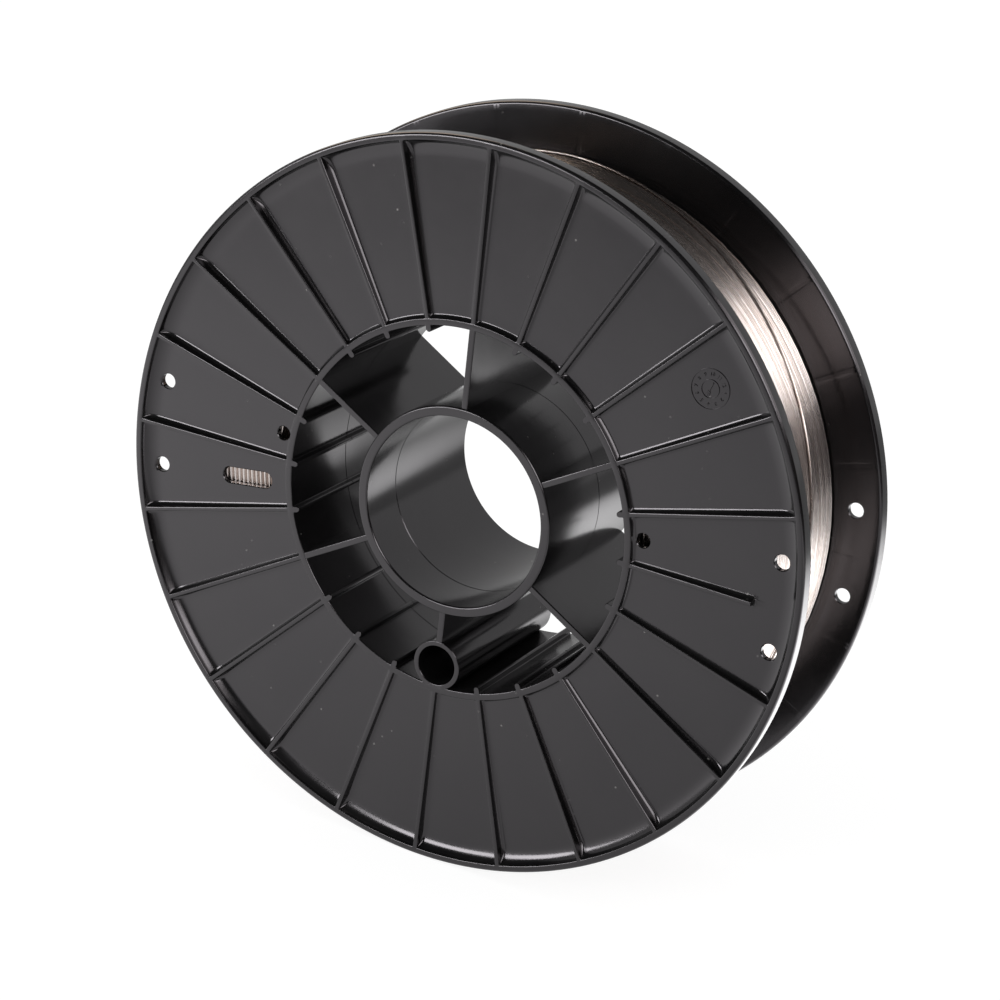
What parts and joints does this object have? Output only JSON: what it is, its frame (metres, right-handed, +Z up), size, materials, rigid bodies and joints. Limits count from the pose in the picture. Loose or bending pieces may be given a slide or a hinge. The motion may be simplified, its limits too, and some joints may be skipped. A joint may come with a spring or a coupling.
{
  "type": "welding wire spool",
  "caption": "Full spool of solid welding wire: a black moulded two-part reel with ribbed flanges, a spoked hub with a wide bore and a driving-pin hole, wound with bright wire.",
  "frame": {"origin": "the middle of the hub bore, half way between the two rim faces", "axes": "+Y along the spool's axis from the front flange to the back flange, +Z up with the driving hole below the bore, +X to the right of the front face"},
  "size_m": [0.2, 0.055, 0.2],
  "materials": {
    "moulded_plastic": "satin injection-moulded black plastic",
    "welding_wire": "bright drawn solid wire, closely wound"
  },
  "bodies": {
    "root": {"front_half": "moulded_plastic", "back_half": "moulded_plastic", "wire_coil": "welding_wire"}
  },
  "joints": []
}
